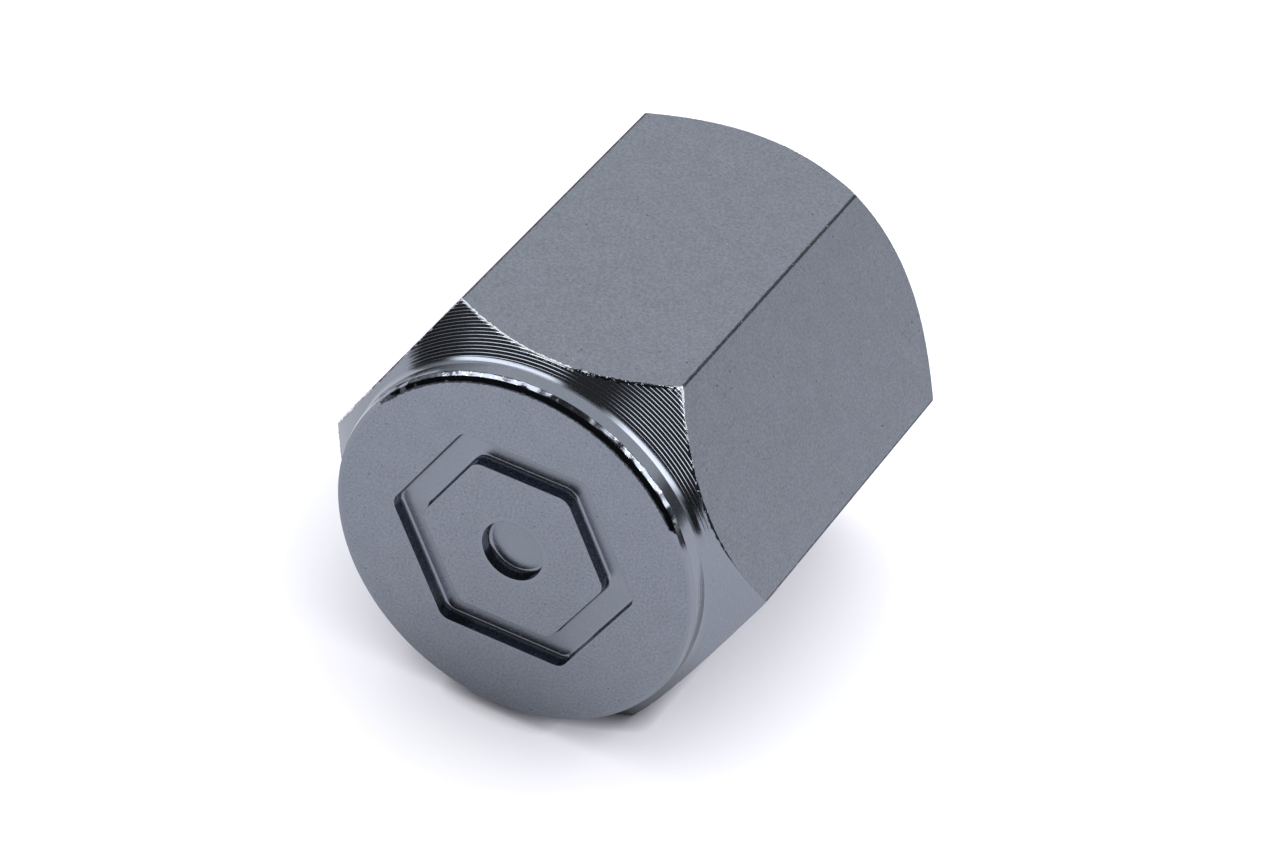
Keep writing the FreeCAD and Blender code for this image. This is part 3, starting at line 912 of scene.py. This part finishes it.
FLOOR_REACH = 1.0
CONTACT_REACH = 0.5 * MM
OVERHANG_REACH = 3.0 * MM
PAPER_WHITE = "#f6f6fc"
PAINTED_SHADE_OVERHUNG = "#edebf5"
PAINTED_SHADOW_IN_GAP = "#30303c"
MIRRORED_PAPER_PAINTED_DARKER = "#d3d3d6"
MIRRORED_PAINTED_SHADOW = "#3f3f45"
PAINTED_GLOW_IN_MIRROR = 0.15

floor_mesh = bpy.data.meshes.new("floor")
floor_mesh.from_pydata(
    [(-FLOOR_REACH, -FLOOR_REACH, 0), (FLOOR_REACH, -FLOOR_REACH, 0), (FLOOR_REACH, FLOOR_REACH, 0),
     (-FLOOR_REACH, FLOOR_REACH, 0)], [], [(0, 1, 2, 3)])
floor = bpy.data.objects.new("floor", floor_mesh)
bpy.context.scene.collection.objects.link(floor)
# Dead white and quite matt, as paper is
paper = bpy.data.materials.new("white_paper")
paper.use_nodes = True
tree = paper.node_tree
shader = tree.nodes["Principled BSDF"]
shader.inputs["Roughness"].default_value = 1.0
shader.inputs["Specular IOR Level"].default_value = 0.0
glossy = add(tree, "ShaderNodeLightPath").outputs["Is Glossy Ray"]
# Painted shadow: the paper's colour darkens where the cap closes round it and where it overhangs
in_gap, overhung = (
    add(tree, "ShaderNodeAmbientOcclusion", {"Distance": distance}, samples=8).outputs["AO"]
    for distance in (CONTACT_REACH, OVERHANG_REACH)
)
under = add(tree, "ShaderNodeMath", [in_gap, overhung], operation="MULTIPLY")
shade = linear(PAPER_WHITE)
for factor, below in ((overhung, linear(PAINTED_SHADE_OVERHUNG)), (in_gap, linear(PAINTED_SHADOW_IN_GAP))):
    shade = add(tree, "ShaderNodeMix", {"Factor": factor, "A": below, "B": shade},
                data_type="RGBA").outputs["Result"]
# Painted reflection: the metal sees the paper darker than it is, and darker still in the painted shadow
mirrored = add(tree, "ShaderNodeMix",
               {"Factor": under, "A": linear(MIRRORED_PAINTED_SHADOW), "B": linear(MIRRORED_PAPER_PAINTED_DARKER)}, data_type="RGBA")
seen = add(tree, "ShaderNodeMix", {"Factor": glossy, "A": shade, "B": mirrored.outputs["Result"]},
           data_type="RGBA")
tree.links.new(seen.outputs["Result"], shader.inputs["Base Color"])
# A painted glow on the paper, seen only in the metal, fading in the painted shade
lift = add(tree, "ShaderNodeMath", [
    add(tree, "ShaderNodeMath", [glossy, overhung], operation="MULTIPLY"), PAINTED_GLOW_IN_MIRROR,
], operation="MULTIPLY")
painted_glow = add(tree, "ShaderNodeEmission", {"Color": (1.0, 1.0, 1.0, 1.0), "Strength": lift})
both = add(tree, "ShaderNodeAddShader", [shader, painted_glow])
tree.links.new(both.outputs[0], tree.nodes["Material Output"].inputs["Surface"])
floor_mesh.materials.append(paper)

# The room as metal mirrors it, by the direction looked in: X is to the right, Y to the back and Z up. It is
# dark where Y is low, two lamps lie over the cap with a gap between them, and low at the right there is a
# dark gap past the paper's edge. Each row eases from one level to another while X, Y or Z changes.
ROOM = {
    "left lamp's end": ("X", (-0.12, -0.3), (0.0, 1.0)),
    "left lamp's back": ("Y", (0.34, 0.22), (0.0, 1.0)),
    "right lamp's end": ("X", (0.18, 0.52), (0.0, 1.0)),
    "right lamp's back": ("Y", (0.5, 0.38), (0.0, 1.0)),
    "lamps' front": ("Y", (-0.05, 0.02), (0.0, 1.0)),
    "lamps' foot": ("Z", (0.3, 0.5), (0.0, 1.0)),
    "gap's end": ("X", (0.4, 0.6), (0.0, 1.0)),
    "gap's front": ("Y", (0.35, 0.55), (0.0, 1.0)),
    "gap's foot": ("Z", (0.03, 0.07), (0.0, 1.0)),
    "gap's top": ("Z", (0.42, 0.26), (0.0, 1.0)),
    "horizon": ("Z", (0.0, 0.5), (0.4, 1.0)),
    "dark front": ("Y", (0.16, 0.42), (0.07, 1.0)),
    "light on the floor": ("Z", (0.0, 1.0), (2.2, 1.25)),
    "floor's sides": ("X", (-1.0, 1.0), (0.86, 1.15)),
    "floor's ends": ("Y", (-1.0, 1.0), (0.82, 1.18)),
}
LAMP_LEVEL = 4.4
GAP_DARKNESS = 0.75

world = bpy.data.worlds.new("studio")
bpy.context.scene.world = world
world.use_nodes = True
# Every ray that meets the sky comes by way of a surface, so that each knows what kind of ray it is
world.cycles.sampling_method = "NONE"
tree = world.node_tree
direction = add(tree, "ShaderNodeSeparateXYZ", [add(tree, "ShaderNodeTexCoord").outputs["Generated"]])
eased = {
    name: add(tree, "ShaderNodeMapRange", {
        "Value": direction.outputs[axis], "From Min": start, "From Max": end, "To Min": low, "To Max": high,
    }, interpolation_type="SMOOTHSTEP")
    for name, (axis, (start, end), (low, high)) in ROOM.items()
}
left, right = (
    add(tree, "ShaderNodeMath", [eased[side + " lamp's end"], eased[side + " lamp's back"]],
        operation="MULTIPLY")
    for side in ("left", "right")
)
lamp = add(tree, "ShaderNodeMath", [left, right], operation="MAXIMUM")
for limit in ("lamps' front", "lamps' foot"):
    lamp = add(tree, "ShaderNodeMath", [lamp, eased[limit]], operation="MULTIPLY")
gap = eased["gap's end"]
for limit in ("gap's front", "gap's foot", "gap's top"):
    gap = add(tree, "ShaderNodeMath", [gap, eased[limit]], operation="MULTIPLY")
room = add(tree, "ShaderNodeMath", [gap, -GAP_DARKNESS, 1.0], operation="MULTIPLY_ADD")
for level in ("horizon", "dark front"):
    room = add(tree, "ShaderNodeMath", [eased[level], room], operation="MULTIPLY")
in_metal = add(tree, "ShaderNodeMath", [lamp, LAMP_LEVEL - 1.0, room], operation="MULTIPLY_ADD")
floor_light = eased["light on the floor"]
for share in ("floor's sides", "floor's ends"):
    floor_light = add(tree, "ShaderNodeMath", [floor_light, eased[share]], operation="MULTIPLY")
path = add(tree, "ShaderNodeLightPath")
plain = add(tree, "ShaderNodeMix", {"Factor": path.outputs["Is Diffuse Ray"], "A": 1.0, "B": floor_light},
            data_type="FLOAT")
shown = add(tree, "ShaderNodeMix", {"Factor": path.outputs["Is Glossy Ray"], "A": plain, "B": in_metal},
            data_type="FLOAT")
tree.links.new(shown.outputs[0], tree.nodes["Background"].inputs["Strength"])
tree.nodes["Background"].inputs["Color"].default_value = (1.0, 1.0, 1.0, 1.0)

# Camera: where the photograph was taken from, close, with a long lens
AZIMUTH = math.radians(22.57)
ELEVATION = math.radians(37.92)
ROLL = math.radians(8.05)
AIM = Vector((1.179, -2.198, 6.784)) * MM
DISTANCE = 118.0 * MM
LENS = 140.72
SENSOR = 36.0
back = Vector((math.sin(AZIMUTH) * math.cos(ELEVATION), -math.cos(AZIMUTH) * math.cos(ELEVATION),
               math.sin(ELEVATION)))
level_right = Vector((math.cos(AZIMUTH), math.sin(AZIMUTH), 0.0))
level_up = back.cross(level_right)
right = level_right * math.cos(ROLL) + level_up * math.sin(ROLL)
up = level_up * math.cos(ROLL) - level_right * math.sin(ROLL)
camera_data = bpy.data.cameras.new("camera")
camera_data.sensor_width = SENSOR
camera_data.lens = LENS
camera_data.clip_start = 0.01
camera_data.clip_end = 10.0
camera = bpy.data.objects.new("camera", camera_data)
bpy.context.scene.collection.objects.link(camera)
turn = Matrix((right, up, back)).transposed().to_4x4()
camera.matrix_world = Matrix.Translation(AIM + back * DISTANCE) @ turn
bpy.context.scene.camera = camera
bpy.context.scene.view_settings.view_transform = "Standard"
